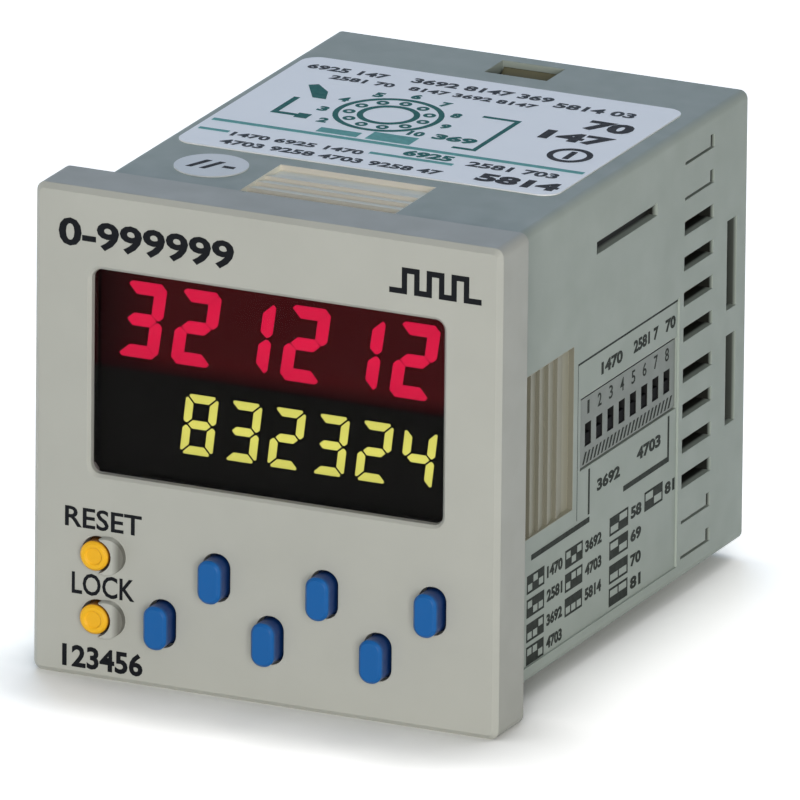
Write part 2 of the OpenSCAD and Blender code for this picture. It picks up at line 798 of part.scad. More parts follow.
// Puts a piece that stands on XY on the inner face of an upright board, its X along the board's height
module on_main_board(y, z) {
    translate([upright_in, y, z]) rotate([0, -90, 0]) children();
}

module on_power_board(y, z) {
    translate([-upright_in, y, z]) rotate([0, 90, 0]) children();
}

// Square chip with bent legs on its four sides
module microcontroller() {
    leg_top = (chip_t + leg_t) / 2;
    bend = leg_out / 2;
    color("dimgray") on_main_board(dip_y, 0) {
        translate([0, 0, chip_t / 2]) cube([chip_side, chip_side, chip_t], center = true);
        for (turn = [0:3], k = [1:chip_legs])
            rotate([0, 0, 90 * turn])
                translate([chip_side / 2, (k / (chip_legs + 1) - 0.5) * chip_side + leg_w / 2, 0])
                    rotate([90, 0, 0]) linear_extrude(leg_w) polygon([
                        [0, leg_top - leg_t], [bend - leg_t, leg_top - leg_t], [bend - leg_t, 0],
                        [leg_out, 0], [leg_out, leg_t], [bend, leg_t], [bend, leg_top], [0, leg_top]
                    ]);
    }
}

// Flat can on its foot
module crystal() {
    r = crystal_d / 2 - seat_gap;
    color(steel) on_main_board(dip_y - chip_side - crystal_d / 2, 0) {
        linear_extrude(crystal_t) rounded_rect(crystal_l, crystal_d, r);
        linear_extrude(foot_t)
            rounded_rect(crystal_l + 2 * foot_out, crystal_d + 2 * foot_out, r + foot_out);
    }
}

// Laminated core, with the winding between the two flanges of its bobbin
module transformer() {
    winding_w = core_side - 2 * yoke_w;
    winding_d = core_w + 2 * winding_out;
    rear = upright_end - winding_out - pad_l;
    color("darkgoldenrod") on_power_board(rear - core_side / 2, -inner_h / 4) {
        translate([-core_side / 2, -core_w / 2, 0]) cube([core_side, core_w, core_t]);
        translate([0, 0, yoke_w]) linear_extrude(core_t - 2 * yoke_w)
            rounded_rect(winding_w, winding_d, winding_out);
        for (z = [yoke_w, core_t - yoke_w - bobbin_t])
            translate([-winding_w / 2, -winding_d / 2 - bobbin_t, z])
                cube([winding_w, winding_d + 2 * bobbin_t, bobbin_t]);
    }
}

// Cover with rounded edges on a wider foot
module relay() {
    color("gainsboro") on_power_board(upright_end - pad_l - relay_l / 2, inner_h / 4) {
        linear_extrude(relay_foot) square([relay_w, relay_l], center = true);
        linear_extrude(relay_t)
            rounded_rect(relay_w - 2 * fit_gap, relay_l - 2 * fit_gap, relay_edge);
    }
}

// Can with a crimp near its board and a rounded end
module capacitor(k) {
    r = capacitor_d / 2;
    crimp_end = crimp_up + 2 * crimp_r;
    color("midnightblue")
        on_power_board(upright_y + header_l + capacitor_d, (k == 0 ? 1 : -1) * inner_h / 4) rotate_extrude() {
            square([r - crimp_r, capacitor_l]);
            square([r, crimp_up]);
            translate([0, crimp_end]) square([r, capacitor_l - crimp_r - crimp_end]);
            translate([r - crimp_r, capacitor_l - crimp_r]) circle(crimp_r);
        }
}

front_bezel();
display_window();
case();
rear_base();
reset_key();
lock_key();
dip_switch();
top_label();
round_sticker();
lcd_glass();
lcd_holder();
backlight();
display_board();
main_board();
power_board();
microcontroller();
crystal();
transformer();
relay();
for (k = [0:len(KEYS) - 1]) digit_key(k);
for (k = [0:len(SLIDERS) - 1]) dip_slider(k);
for (k = [0:len(STRIPS) - 1]) strip_connector(k);
for (k = [0:len(TACTS) - 1]) tact_switch(k);
for (k = [0:len(HEADERS) - 1]) board_header(k);
for (k = [0:len(CAPACITORS) - 1]) capacitor(k);
for (k = [0:len(PINS) - 1]) plug_pin(k);
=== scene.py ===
"""Looks of the panel counter: materials, display, print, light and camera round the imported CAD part."""
import json
import math

import bmesh
import bpy
from mathutils import Matrix, Vector


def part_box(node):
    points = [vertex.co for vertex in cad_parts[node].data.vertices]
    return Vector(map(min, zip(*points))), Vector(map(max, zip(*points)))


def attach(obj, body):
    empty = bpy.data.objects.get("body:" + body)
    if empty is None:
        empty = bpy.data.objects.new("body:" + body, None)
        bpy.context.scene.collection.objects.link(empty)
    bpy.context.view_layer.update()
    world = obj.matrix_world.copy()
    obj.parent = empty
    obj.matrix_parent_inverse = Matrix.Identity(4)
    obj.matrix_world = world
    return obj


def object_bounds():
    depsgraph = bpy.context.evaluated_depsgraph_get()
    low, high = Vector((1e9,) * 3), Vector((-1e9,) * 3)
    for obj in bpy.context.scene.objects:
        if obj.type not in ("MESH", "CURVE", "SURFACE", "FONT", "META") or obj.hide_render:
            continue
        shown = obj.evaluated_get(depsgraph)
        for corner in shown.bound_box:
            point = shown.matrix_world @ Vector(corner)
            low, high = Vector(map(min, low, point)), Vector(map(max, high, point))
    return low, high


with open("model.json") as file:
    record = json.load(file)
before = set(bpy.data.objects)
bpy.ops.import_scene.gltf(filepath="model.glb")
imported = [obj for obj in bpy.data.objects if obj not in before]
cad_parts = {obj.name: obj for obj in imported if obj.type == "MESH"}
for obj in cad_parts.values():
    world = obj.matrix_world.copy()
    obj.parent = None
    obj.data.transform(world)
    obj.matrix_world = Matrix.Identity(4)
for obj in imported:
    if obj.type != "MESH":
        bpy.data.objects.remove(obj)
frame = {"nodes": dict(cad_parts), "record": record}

cad_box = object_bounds()

MM = 0.001
X = Vector((1, 0, 0))
Y = Vector((0, 1, 0))
Z = Vector((0, 0, 1))

# How far print stands proud of the surface that carries it, and how far it goes in
PRINT_PROUD = 0.02
PRINT_SUNK = 0.01

# Step from figure to figure in a row of plain numbers, as a share of their height
NUMBER_PITCH = 0.72

# Places and steps in mm, and counts, that the CAD part gives and that print and materials follow
PANE_SUNK = 0.7
FIELD_FACE = 21.3
BOSS_FACE = 58.1
SWITCH_PITCH = 2.54
SWITCH_COUNT = 8
PIN_COUNT = 11
CASE_MOUTH = 53.6
BLUE_FACE = -7.9
YELLOW_FACE = -7.1
KEY_ROOT = -6.0
FRONT_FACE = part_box("display_window")[0].y / MM - PANE_SUNK

# Camera: where it stands, how it is turned and its lens
EYE = Vector((1.1299, -2.4264, 0.8666))
YAW = math.radians(-24.7562)
PITCH = math.radians(-17.8552)
ROLL = math.radians(0.59)
LENS = 1354.7
SENSOR = 36


def srgb(red, green, blue):
    """Linear colour of an sRGB triple from 0 to 255."""
    def linear(value):
        value /= 255
        return value / 12.92 if value <= 0.04045 else ((value + 0.055) / 1.055) ** 2.4
    return (linear(red), linear(green), linear(blue), 1.0)


def scaled(colour, factor):
    """A colour made lighter or darker by a factor."""
    return tuple(min(channel * factor, 1.0) for channel in colour[:3]) + (1.0,)


class Shade:
    """A material under construction: its nodes, its shader and the piece's own coordinates."""

    def __init__(self, name):
        self.material = bpy.data.materials.new(name)
        self.material.use_nodes = True
        self.nodes = self.material.node_tree.nodes
        self.links = self.material.node_tree.links
        self.shader = self.nodes["Principled BSDF"]
        coordinates = self.nodes.new("ShaderNodeTexCoord")
        self.place = coordinates.outputs["Object"]
        self.facing = coordinates.outputs["Normal"]

    def set(self, **values):
        """Set the shader's own sockets; underscores stand for spaces."""
        for key, value in values.items():
            self.shader.inputs[key.replace("_", " ")].default_value = value

    def noise(self, size, detail):
        """Noise with spots of about the given size in mm."""
        node = self.nodes.new("ShaderNodeTexNoise")
        node.inputs["Scale"].default_value = 1 / (size * MM)
        node.inputs["Detail"].default_value = detail
        self.links.new(self.place, node.inputs["Vector"])
        return node.outputs[0]

    def axis(self, name, low, high):
        """A value that goes from 0 to 1 between two places in mm along X, Y or Z."""
        return self.fade(self.parts(self.place)[name], low, high)

    def math(self, operation, first, second=0.0):
        """One calculation with one or two values or numbers."""
        node = self.nodes.new("ShaderNodeMath")
        node.operation = operation
        for socket, value in zip(node.inputs, (first, second)):
            if isinstance(value, (int, float)):
                socket.default_value = value
            else:
                self.links.new(value, socket)
        return node.outputs[0]

    def within(self, value, low, high):
        """1 where a place lies between two limits in mm, 0 elsewhere."""
        above = self.math("GREATER_THAN", value, low * MM)
        return self.math("MULTIPLY", above, self.math("LESS_THAN", value, high * MM))

    def fade(self, value, low, high):
        """A value that goes from 0 to 1 between two lengths in mm."""
        node = self.nodes.new("ShaderNodeMapRange")
        node.inputs["From Min"].default_value = low * MM
        node.inputs["From Max"].default_value = high * MM
        self.links.new(value, node.inputs["Value"])
        return node.outputs[0]

    def mix(self, factor, first, second):
        """A colour that goes over into another one."""
        node = self.nodes.new("ShaderNodeMix")
        node.data_type = "RGBA"
        self.links.new(factor, node.inputs[0])
        self.links.new(first, node.inputs[6])
        node.inputs[7].default_value = second
        return node.outputs[2]

    def parts(self, value):
        """The three parts of a vector."""
        node = self.nodes.new("ShaderNodeSeparateXYZ")
        self.links.new(value, node.inputs[0])
        return node.outputs

    def ramp(self, value, stops):
        """Colours along a value."""
        node = self.nodes.new("ShaderNodeValToRGB")
        band = node.color_ramp
        while len(band.elements) < len(stops):
            band.elements.new(0.5)
        for element, (position, colour) in zip(band.elements, stops):
            element.position = position
            element.color = colour
        self.links.new(value, node.inputs["Fac"])
        return node.outputs["Color"]

    def paint(self, value, stops):
        """Drive the shader's base colour by a value."""
        self.links.new(self.ramp(value, stops), self.shader.inputs["Base Color"])

    def rough(self, value, low, high):
        """Let the roughness wander between two numbers."""
        node = self.nodes.new("ShaderNodeMapRange")
        node.inputs["From Min"].default_value = 0.3
        node.inputs["From Max"].default_value = 0.7
        node.inputs["To Min"].default_value = low
        node.inputs["To Max"].default_value = high
        self.links.new(value, node.inputs["Value"])
        self.links.new(node.outputs[0], self.shader.inputs["Roughness"])

    def grain(self, value, depth, edge):
        """Surface grain of a depth in mm, on edges rounded by a radius in mm."""
        round_edge = self.nodes.new("ShaderNodeBevel")
        round_edge.samples = 6
        round_edge.inputs["Radius"].default_value = edge * MM
        bump = self.nodes.new("ShaderNodeBump")
        bump.inputs["Strength"].default_value = 1.0
        bump.inputs["Distance"].default_value = depth * MM
        self.links.new(value, bump.inputs["Height"])
        self.links.new(round_edge.outputs["Normal"], bump.inputs["Normal"])
        self.links.new(bump.outputs["Normal"], self.shader.inputs["Normal"])

    def mottled(self, colour, mottle=0.03):
        """A colour with faint mottling."""
        stops = [(0.3, scaled(colour, 1 - mottle)), (0.7, scaled(colour, 1 + mottle))]
        return self.ramp(self.noise(9, 4), stops)

    def moulded(self, body, roughness=(0.42, 0.56), edge=0.12, shine=0.28):
        """Finish of moulded plastic: its colour, shine, roughness and fine grain."""
        self.set(Specular_IOR_Level=shine)
        self.links.new(body, self.shader.inputs["Base Color"])
        self.rough(self.noise(2.5, 3), *roughness)
        self.grain(self.noise(0.3, 2), 0.004, edge)


def plastic(name, colour, mottle=0.03, **finish):
    """Moulded plastic: faint mottling, a fine grain from the mould and rounded edges."""
    shade = Shade(name)
    shade.moulded(shade.mottled(colour, mottle), **finish)
    return shade.material


def bezel_plastic(colour, guard_slope_shade):
    """Plastic of the bezel, with painted shade on the outer slope of the guards that stand proud of its face.
    """
    shade = Shade("bezel_grey")
    proud = shade.math("LESS_THAN", shade.parts(shade.place)[1], (FRONT_FACE - 0.06) * MM)
    # Painted shade across the outer slope of the guards
    slope_across = (-15.4, -14.7)
    slope = shade.math("MULTIPLY", proud, shade.axis("X", *slope_across))
    shade.moulded(shade.mix(slope, shade.mottled(colour), guard_slope_shade))
    return shade.material


def case_plastic(colour, ratchet_top_painted_light, ratchet_steep_painted_light, ratchet_side, inside):
    """Plastic of the case: painted light on the top ratchet field, a warmer side ratchet field, painted shade
    on the steep faces of the ratchet teeth, and painted shade inside its slots and windows.
    """
    shade = Shade("case_grey")
    x, y, z = shade.parts(shade.place)
    facing_rear, facing_up = shade.parts(shade.facing)[1:3]
    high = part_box("case")[1]
    from_side = shade.math("SUBTRACT", high.x, shade.math("ABSOLUTE", x))
    from_top = shade.math("SUBTRACT", high.z, shade.math("ABSOLUTE", z))
    under = shade.math("MINIMUM", from_side, from_top)
    deep = shade.math("MINIMUM", under, shade.math("SUBTRACT", high.y, y))

    # Painted shade in the vents, rear windows and the long slot and deep inside the case, less on the floors
    # that look up and eased a little from the rear windows on
    lifted = shade.math("MULTIPLY", shade.math("GREATER_THAN", facing_up, 0.5), 0.45 * MM)
    near = shade.math("SUBTRACT", from_side, lifted)
    vents_along = (40.5, 53.7)
    vents_high = (-20.45, 20.45)
    slot_along = (20.8, 34.7)
    slot_high = (15.5, 17.1)
    rear_part = shade.math("MULTIPLY", shade.within(y, *vents_along), shade.within(z, *vents_high))
    slot_part = shade.math("MULTIPLY", shade.within(y, *slot_along), shade.within(z, *slot_high))
    dark = shade.math("MAXIMUM", shade.math("MULTIPLY", rear_part, shade.fade(near, 0.04, 0.4)),
                      shade.math("MULTIPLY", slot_part, shade.fade(near, 0.15, 0.6)))
    dark = shade.math("MAXIMUM", dark, shade.fade(deep, 0.9, 1.3))
    shade_eased_from = 48.5
    shade_eased = shade.math("MULTIPLY", shade.math("GREATER_THAN", y, shade_eased_from * MM), 0.14)
    dark = shade.math("SUBTRACT", dark, shade.math("MULTIPLY", dark, shade_eased))

    # Ratchet fields: the top field's colour is painted light, the side field is warmer, and the steep faces
    # of their teeth carry painted shade
    steep = shade.math("LESS_THAN", facing_rear, -0.3)
    field_width = (-8.05, 8.05)
    top_along = (2.55, 14.05)
    side_along = (2.55, 16.05)
    side_band = 5 * MM
    top_field = shade.math("MULTIPLY", shade.within(x, *field_width), shade.within(y, *top_along))
    top_field = shade.math("MULTIPLY", top_field, shade.math("GREATER_THAN", from_side, side_band))
    side_field = shade.math("MULTIPLY", shade.within(z, *field_width), shade.within(y, *side_along))
    side_field = shade.math("MULTIPLY", side_field, shade.math("LESS_THAN", from_side, side_band))
    body = shade.mottled(colour)
    for field, flat, flank_shade in ((top_field, ratchet_top_painted_light, ratchet_steep_painted_light),
                               (side_field, ratchet_side, scaled(ratchet_side, 0.5))):
        body = shade.mix(field, body, flat)
        body = shade.mix(shade.math("MULTIPLY", field, steep), body, flank_shade)
    shade.moulded(shade.mix(dark, body, inside))
    return shade.material


def base_plastic(colour, inside, mouth):
    """Plastic of the rear base, with painted shade where it lies inside the case, up to a place along Y in
    mm.
    """
    shade = Shade("base_beige")
    hidden = shade.math("LESS_THAN", shade.parts(shade.place)[1], mouth * MM)
    shade.moulded(shade.mix(hidden, shade.mottled(colour), inside))
    return shade.material


def key_plastic(name, top, foot, face, root):
    """Plastic of a push key, with painted shade that deepens from its face, at a Y in mm, down to its root.
    """
    shade = Shade(name)
    shade.set(Specular_IOR_Level=0.3)
    # Painted shade from the face colour down to the foot colour at the root
    shade.paint(shade.axis("Y", face, root), [(0.0, top), (0.12, top), (0.4, scaled(foot, 1.6)), (1.0, foot)])
    shade.rough(shade.noise(0.8, 3), 0.34, 0.46)
    shade.grain(shade.noise(0.3, 2), 0.003, 0.12)
    return shade.material


def metal(name, colour):
    """Plated metal with fine rubbing marks."""
    shade = Shade(name)
    shade.set(Metallic=1.0)
    shade.paint(shade.noise(1.8, 4), [(0.3, scaled(colour, 0.9)), (0.7, colour)])
    shade.rough(shade.noise(0.6, 3), 0.2, 0.34)
    shade.grain(shade.noise(0.2, 2), 0.002, 0.1)
    return shade.material


def film(name, colour, shine, coat=0.0):
    """Printed film: slightly glossy, with a faint orange-peel surface and a clear coat if asked."""
    shade = Shade(name)
    shade.set(Specular_IOR_Level=shine, Coat_Weight=coat, Coat_Roughness=0.3)
    shade.paint(shade.noise(6, 3), [(0.3, scaled(colour, 0.97)), (0.7, colour)])
    shade.rough(shade.noise(2, 2), 0.38, 0.5)
    shade.grain(shade.noise(0.9, 2), 0.003, 0.03)
    return shade.material


def ink(name, colour):
    """Printing ink, a little uneven."""
    shade = Shade(name)
    shade.set(Specular_IOR_Level=0.1)
    shade.paint(shade.noise(0.7, 3), [(0.3, scaled(colour, 0.88)), (0.7, scaled(colour, 1.08))])
    shade.rough(shade.noise(0.5, 2), 0.5, 0.65)
    return shade.material


def lit(name, colour, strength, low, high, foot=0.86, dim=None):
    """Lit part of the display, brightest half-way between two heights in mm, dim to one side if asked."""
    shade = Shade(name)
    shade.set(Base_Color=(0.002, 0.002, 0.002, 1.0), Roughness=0.6, Specular_IOR_Level=0.0,
              Emission_Strength=strength)
    glow = shade.ramp(shade.axis("Z", low, high),
                      [(0.0, scaled(colour, foot)), (0.5, colour), (1.0, scaled(colour, 0.9))])
    if dim:
        glow = shade.mix(shade.axis("X", *dim), glow, scaled(colour, 0.2))
    shade.links.new(glow, shade.shader.inputs["Emission Color"])
    return shade.material


def window_glass():
    """Smoked acrylic pane with a dulled surface."""
    shade = Shade("window_smoke")
    shade.set(Base_Color=srgb(214, 206, 206), Transmission_Weight=1.0, IOR=1.09)
    shade.rough(shade.noise(4, 3), 0.0, 0.03)
    return shade.material


def display_glass():
    """Dark glass of the display."""
    shade = Shade("lcd_dark")
    shade.set(Specular_IOR_Level=0.02)
    shade.paint(shade.noise(1.2, 3), [(0.3, srgb(7, 7, 10)), (0.7, srgb(12, 12, 16))])
    shade.rough(shade.noise(3, 2), 0.5, 0.6)
    return shade.material


def switch_body(face):
    """Setting switch: a light face, and black inside its slots."""
    shade = Shade("switch_grey")
    shade.paint(shade.axis("X", face - 0.06, face - 0.02),
                [(0.0, srgb(5, 5, 6)), (0.45, srgb(6, 6, 7)), (0.55, srgb(123, 129, 124)),
                 (1.0, srgb(127, 133, 128))])
    shade.rough(shade.noise(1.5, 3), 0.45, 0.58)
    shade.grain(shade.noise(0.25, 2), 0.003, 0.05)
    return shade.material


def circuit_board():
    """Green board with a faint pattern of tracks under the lacquer."""
    shade = Shade("board_green")
    tracks = shade.nodes.new("ShaderNodeTexBrick")
    tracks.inputs["Scale"].default_value = 1 / (4 * MM)
    tracks.inputs["Mortar Size"].default_value = 0.06
    tracks.inputs["Color1"].default_value = srgb(30, 92, 52)
    tracks.inputs["Color2"].default_value = srgb(36, 102, 60)
    tracks.inputs["Mortar"].default_value = srgb(64, 140, 84)
    shade.links.new(shade.place, tracks.inputs["Vector"])
    shade.links.new(tracks.outputs["Color"], shade.shader.inputs["Base Color"])
    shade.rough(shade.noise(2, 2), 0.3, 0.42)
    return shade.material


def laminated_core():
    """Iron core of thin sheets, seen as fine lines."""
    shade = Shade("transformer_core")
    lines = shade.nodes.new("ShaderNodeTexWave")
    lines.inputs["Scale"].default_value = 1 / (2.4 * MM)
    shade.links.new(shade.place, lines.inputs["Vector"])
    shade.paint(lines.outputs["Fac"], [(0.2, srgb(62, 58, 56)), (0.8, srgb(104, 98, 94))])
    shade.set(Metallic=0.6)
    shade.rough(shade.noise(1, 2), 0.45, 0.6)
    return shade.material


switch_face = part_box("dip_switch")[1].x / MM

BEZEL_COLOUR = srgb(180, 181, 175)
CASE_COLOUR = srgb(164, 173, 166)

MATERIALS = {
    # Painted light: the case's top ratchet colours. Painted shade: the bezel's guard slope, the case's and
    # base's insides and the keys' feet
    "bezel_grey": bezel_plastic(BEZEL_COLOUR, srgb(112, 111, 104)),
    "case_grey": case_plastic(CASE_COLOUR, srgb(252, 249, 236), srgb(224, 218, 208), srgb(166, 163, 146),
                              srgb(24, 25, 21)),
    "base_beige": base_plastic(srgb(188, 183, 160), srgb(118, 114, 88), CASE_MOUTH),
    "window_smoke": window_glass(),
    "key_blue": key_plastic("key_blue", srgb(4, 90, 160), srgb(8, 42, 92), BLUE_FACE, KEY_ROOT),
    "key_yellow": key_plastic("key_yellow", srgb(246, 186, 34), srgb(120, 70, 8), YELLOW_FACE, KEY_ROOT),
    "switch_grey": switch_body(switch_face),
    "slider_black": plastic("slider_black", srgb(6, 6, 7), mottle=0.1, roughness=(0.6, 0.7), edge=0.05,
                            shine=0.05),
    "label_film": film("label_film", srgb(252, 253, 255), 1.0, coat=0.7),
    "sticker_film": film("sticker_film", srgb(240, 242, 244), 0.7),
    "lcd_dark": display_glass(),
    "holder_white": plastic("holder_white", srgb(222, 222, 216)),
    "light_guide": plastic("light_guide", srgb(226, 232, 232), roughness=(0.15, 0.25)),
    "strip_rubber": plastic("strip_rubber", srgb(206, 128, 140), mottle=0.08, roughness=(0.6, 0.7)),
    "board_green": circuit_board(),
    "tact_grey": plastic("tact_grey", srgb(92, 94, 96), mottle=0.06),
    "chip_black": plastic("chip_black", srgb(36, 36, 38), mottle=0.1, roughness=(0.5, 0.66)),
    "can_steel": metal("can_steel", srgb(204, 204, 200)),
    "transformer_core": laminated_core(),
    "relay_white": plastic("relay_white", srgb(214, 214, 206)),
    "capacitor_sleeve": plastic("capacitor_sleeve", srgb(38, 44, 78), mottle=0.1, roughness=(0.25, 0.36)),
    "pin_metal": metal("pin_metal", srgb(214, 206, 190)),
}

for entry in frame["record"]["subparts"]:
    node = frame["nodes"][entry["node"]]
    node.data.materials.clear()
    node.data.materials.append(MATERIALS[entry["material_slot"]])

dark_ink = ink("dark_ink", srgb(18, 20, 24))
side_ink = ink("side_ink", srgb(30, 36, 30))
label_ink = ink("label_ink", srgb(44, 50, 56))
teal_ink = ink("teal_ink", srgb(16, 104, 98))
pale_ink = ink("pale_ink", srgb(116, 186, 184))


def front_plane(y):
    """Plane seen from the front, at a depth in mm."""
    return Vector((0, y * MM, 0)), X, Z


def right_plane(x):
    """Plane seen from the right."""
    return Vector((x * MM, 0, 0)), Y, Z


def top_plane(z):
    """Plane seen from above."""
    return Vector((0, 0, z * MM)), X, Y


def rear_plane(y):
    """Plane seen from the rear."""
    return Vector((0, y * MM, 0)), -X, Z


def add_piece(name, mesh, material):
    """Turn a bmesh into a piece that rides on the housing."""
    bmesh.ops.recalc_face_normals(mesh, faces=mesh.faces)
    data = bpy.data.meshes.new(name)
    mesh.to_mesh(data)
    mesh.free()
    data.materials.append(material)
    piece = bpy.data.objects.new(name, data)
    bpy.context.scene.collection.objects.link(piece)
    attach(piece, "housing")


def flat_piece(name, outlines, plane, material, proud=PRINT_PROUD, soften=0.0):
    """Thin print on a plane, from outlines in mm in the plane's own two directions."""
    origin, across, up = plane
    normal = across.cross(up)
    mesh = bmesh.new()
    for outline in outlines:
        corners = [origin + (across * u + up * v - normal * PRINT_SUNK) * MM for u, v in outline]
        mesh.faces.new([mesh.verts.new(corner) for corner in corners])
    bmesh.ops.remove_doubles(mesh, verts=mesh.verts, dist=0.0005 * MM)
    if soften:
        bmesh.ops.bevel(mesh, geom=mesh.verts[:], offset=soften * MM, segments=3, profile=0.5,
                        affect="VERTICES")
    raised = bmesh.ops.extrude_face_region(mesh, geom=mesh.faces[:], use_keep_orig=True)["geom"]
    bmesh.ops.translate(mesh, vec=normal * (proud + PRINT_SUNK) * MM,
                        verts=[item for item in raised if isinstance(item, bmesh.types.BMVert)])
    add_piece(name, mesh, material)


def text_piece(name, entries, plane, material, weight=0.0, proud=PRINT_PROUD):
    """Words or numbers, each fitted into a span across and a span up, in mm."""
    origin, across, up = plane
    normal = across.cross(up)
    mesh = bmesh.new()
    for words, span, rise in entries:
        curve = bpy.data.curves.new(name, "FONT")
        curve.body = words
        curve.extrude = 0.1
        curve.offset = weight
        curve.resolution_u = 3
        draft = bpy.data.objects.new(name, curve)
        bpy.context.scene.collection.objects.link(draft)
        data = bpy.data.meshes.new_from_object(draft.evaluated_get(bpy.context.evaluated_depsgraph_get()))
        bpy.data.objects.remove(draft)
        bpy.data.curves.remove(curve)
        low = [min(vert.co[axis] for vert in data.vertices) for axis in range(2)]
        high = [max(vert.co[axis] for vert in data.vertices) for axis in range(2)]
        for vert in data.vertices:
            u = span[0] + (span[1] - span[0]) * (vert.co.x - low[0]) / (high[0] - low[0])
            v = rise[0] + (rise[1] - rise[0]) * (vert.co.y - low[1]) / (high[1] - low[1])
            lift = proud if vert.co.z > 0 else -PRINT_SUNK
            vert.co = origin + (across * u + up * v + normal * lift) * MM
        mesh.from_mesh(data)
        bpy.data.meshes.remove(data)
    bmesh.ops.remove_doubles(mesh, verts=mesh.verts, dist=0.0002 * MM)
    add_piece(name, mesh, material)


def number_row(left, right, middle, height, first):
    """A row of plain numbers in groups that fills a span at a height, as one text entry."""
    count = max(int((right - left) / (NUMBER_PITCH * height)), 1)
    figures = "".join(" " if k % 5 == 4 else str((first + k * 3) % 10) for k in range(count)).strip()
    return figures, (left, right), (middle - height / 2, middle + height / 2)


def bar(u0, u1, v0, v1):
    """Outline of an upright rectangle."""
    return [(u0, v0), (u1, v0), (u1, v1), (u0, v1)]


def frame_bars(u0, u1, v0, v1, line):
    """Outline of a rectangle drawn by four bars that meet without a lap."""
    return [bar(u0, u1, v0, v0 + line), bar(u0, u1, v1 - line, v1),
            bar(u0, u0 + line, v0 + line, v1 - line), bar(u1 - line, u1, v0 + line, v1 - line)]


def round_place(middle, radius, angle):
    """Place at an angle on a circle."""
    return middle[0] + radius * math.cos(angle), middle[1] + radius * math.sin(angle)


def ring(u, v, inner, outer, sides=48):
    """Quads of a ring."""
    quads = []
    for k in range(sides):
        a = 2 * math.pi * k / sides
        b = 2 * math.pi * (k + 1) / sides
        quads.append([round_place((u, v), radius, angle)
                      for radius, angle in ((inner, a), (outer, a), (outer, b), (inner, b))])
    return quads


def switch_sign(left, right, low, high, pattern):
    """Sign for a group of switches: a frame with cells that are filled at their top or bottom."""
    line = 0.22
    bars = frame_bars(left, right, low, high, line)
    cell = (right - left - line) / len(pattern)
    for k, state in enumerate(pattern):
        u0 = left + line + cell * k
        u1 = left + cell * (k + 1)
        middle = (low + high) / 2
        bars.append(bar(u0, u1, middle, high - line) if state == "1" else bar(u0, u1, low + line, middle))
        if k:
            bars.append(bar(u0 - line, u0, low + line, high - line))
    return bars


SEGMENTS = {"0": "abcdef", "1": "bc", "2": "abdeg", "3": "abcdg", "4": "bcfg", "5": "acdfg",
            "6": "acdefg", "7": "abc", "8": "abcdefg", "9": "abcdfg"}


def digit_outlines(figure, width, height, stroke, gap, split):
    """Outlines of one seven-segment figure, from its lower left corner."""
    middle = height / 2
    cut = stroke * 0.5
    top = [(cut, height), (cut / 2 + gap, height - cut / 2), (stroke + gap, height - stroke),
           (width - stroke - gap, height - stroke), (width - cut / 2 - gap, height - cut / 2),
           (width - cut, height)]
    upper_left = [(0, height - cut), (0, middle + stroke * 0.3 + split), (stroke * 0.3, middle + split),
                  (stroke / 2, middle + split), (stroke, middle + stroke / 2 + gap),
                  (stroke, height - stroke - gap), (cut / 2, height - cut / 2 - gap)]
    bridge = [(stroke / 2 + gap, middle), (stroke + gap, middle - stroke / 2),
              (width - stroke - gap, middle - stroke / 2), (width - stroke / 2 - gap, middle),
              (width - stroke - gap, middle + stroke / 2), (stroke + gap, middle + stroke / 2)]

    def across(outline):
        return [(width - u, v) for u, v in reversed(outline)]

    def down(outline):
        return [(u, height - v) for u, v in reversed(outline)]

    shapes = {"a": top, "b": across(upper_left), "c": down(across(upper_left)), "d": down(top),
              "e": down(upper_left), "f": upper_left, "g": bridge}
    return [shapes[letter] for letter in SEGMENTS[figure]]


def figure_row(figures, rights, bottom, width, height, stroke, gap, split, slant):
    """Outlines of a row of figures, each given by the right end of its top."""
    lean = math.tan(math.radians(slant))
    outlines = []
    for figure, right in zip(figures, rights):
        left = right - width - lean * height
        for outline in digit_outlines(figure, width, height, stroke, gap, split):
            outlines.append([(left + u + lean * v, bottom + v) for u, v in outline])
    return outlines


def pulse_outlines(left, right, low, high, line, count):
    """A row of square pulses drawn as one line."""
    pitch = (right - left - line) / (2 * count + 1)
    bars = []
    for k in range(2 * count + 1):
        u = left + pitch * k
        if k % 2:
            bars.append(bar(u + line, u + pitch, high - line, high))
        else:
            bars.append(bar(u + line, u + pitch, low, low + line))
        bars.append(bar(u, u + line, low, high))
    bars[1] = bar(left, left + line, low, low + line)
    bars.append(bar(left + pitch * (2 * count + 1), right, low, low + line))
    return bars


# The display: two lit fields on the glass and a row of figures on each
FIELD_HALF = 18.2
glass_front = front_plane(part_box("lcd_glass")[0].y / MM)
red_field = lit("red_field", srgb(70, 14, 17), strength=1.0, low=6.2, high=9.5, foot=0.16, dim=(-11.5, -17.5))
dark_field = lit("dark_field", srgb(14, 15, 13), strength=1.0, low=-4, high=6)
red_light = lit("red_light", srgb(238, 30, 78), strength=1.2, low=7, high=15)
yellow_light = lit("yellow_light", srgb(226, 230, 112), strength=1.4, low=-1.5, high=4.7)
flat_piece("upper_field", [bar(-FIELD_HALF, FIELD_HALF, 6.2, 16.2)], glass_front, red_field,
           proud=0.01, soften=0.4)
flat_piece("lower_field", [bar(-FIELD_HALF, FIELD_HALF, -3.9, 6.0)], glass_front, dark_field,
           proud=0.01, soften=0.4)
flat_piece("count_figures",
           figure_row("321212", [-11.3 + 5.626 * k for k in range(6)], bottom=7.42, width=4.3, height=7.5,
                      stroke=1.25, gap=0.02, split=0.12, slant=8),
           glass_front, red_light, proud=0.04)
flat_piece("preset_figures",
           figure_row("832324", [-5.95 + 4.51 * k for k in range(6)], bottom=-1.27, width=3.35, height=5.93,
                      stroke=0.82, gap=0.13, split=0.15, slant=6.5),
           glass_front, yellow_light, proud=0.04)

